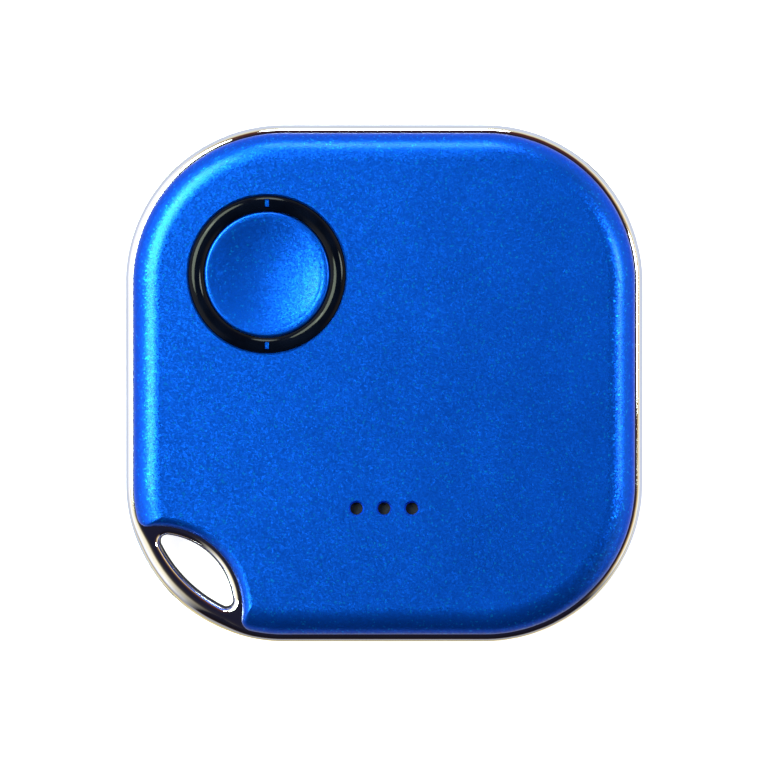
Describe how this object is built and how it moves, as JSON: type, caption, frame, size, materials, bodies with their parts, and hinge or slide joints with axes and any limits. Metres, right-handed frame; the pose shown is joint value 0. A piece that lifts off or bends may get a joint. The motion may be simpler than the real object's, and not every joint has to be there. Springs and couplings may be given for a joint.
{
  "type": "square push-button key tag",
  "caption": "Square wireless key tag: painted covers in a chromed bezel with a key eye, a dished push button in a light ring, sound holes, a board and a coin cell.",
  "frame": {"origin": "centre of the flat back face, on the surface that the tag lies on", "axes": "+Z out of the front face, +Y to the side with the push button, +X to the right seen from the front, key eye at the -X -Y corner"},
  "size_m": [0.036, 0.036, 0.006],
  "materials": {
    "cover_paint": "metallic blue paint under clear satin lacquer",
    "bezel_chrome": "bright chrome plating on a die-cast frame",
    "smoked_ring": "polished smoked light guide",
    "seal_rubber": "matte",
    "dark_moulding": "matte black moulding",
    "pale_moulding": "matte natural nylon",
    "sheet_steel": "rolled stainless sheet",
    "led_resin": "milky resin",
    "board_mask": "green solder mask",
    "screw_steel": "zinc plated",
    "chip_epoxy": "matte black epoxy",
    "pale_ceramic": "fired ceramic",
    "tan_ceramic": "fired ceramic with tinned ends",
    "contact_brass": "gold-washed spring bronze",
    "mesh_cloth": "woven dust mesh",
    "cell_steel": "nickel-plated pressed steel",
    "cell_fill": "pressed powder"
  },
  "bodies": {
    "back": {"back_cover": "cover_paint", "cover_seal": "seal_rubber", "cell_pad": "seal_rubber"},
    "front": {"front_cover": "cover_paint", "bezel_frame": "bezel_chrome", "light_ring": "smoked_ring", "switch_base": "dark_moulding", "switch_dome": "sheet_steel", "switch_plate": "sheet_steel", "status_leds": "led_resin", "circuit_board": "board_mask", "board_screws": "screw_steel", "radio_chip": "chip_epoxy", "crystal_can": "sheet_steel", "chip_antenna": "pale_ceramic", "ceramic_capacitors": "tan_ceramic", "chip_resistors": "chip_epoxy", "buzzer_case": "dark_moulding", "buzzer_diaphragm": "contact_brass", "piezo_disc": "pale_ceramic", "buzzer_gasket": "seal_rubber", "sound_mesh": "mesh_cloth", "cell_cradle": "dark_moulding", "negative_spring": "contact_brass", "positive_clip": "contact_brass"},
    "button": {"button_cap": "cover_paint", "switch_plunger": "pale_moulding"},
    "cell": {"cell_can": "cell_steel", "cell_cap": "cell_steel", "cell_seal": "pale_moulding", "cathode_pellet": "cell_fill", "lithium_disc": "cell_fill"}
  },
  "joints": [
    {"name": "body_lift", "type": "slide", "parent": "back", "child": "front", "axis": [0, 0, 1], "range_m": [0, 0.02]},
    {"name": "cell_lift", "type": "slide", "parent": "back", "child": "cell", "axis": [0, 0, 1], "range_m": [0, 0.01]},
    {"name": "button_press", "type": "slide", "parent": "front", "child": "button", "axis": [0, 0, -1], "range_m": [0, 0.00025], "stiffness_N_per_m": 2000, "springref_m": -0.0002, "deforming": ["switch_dome"]}
  ],
  "couplings": [
    {"joint": "cell_lift", "follows": "body_lift", "ratio": 0.5}
  ]
}
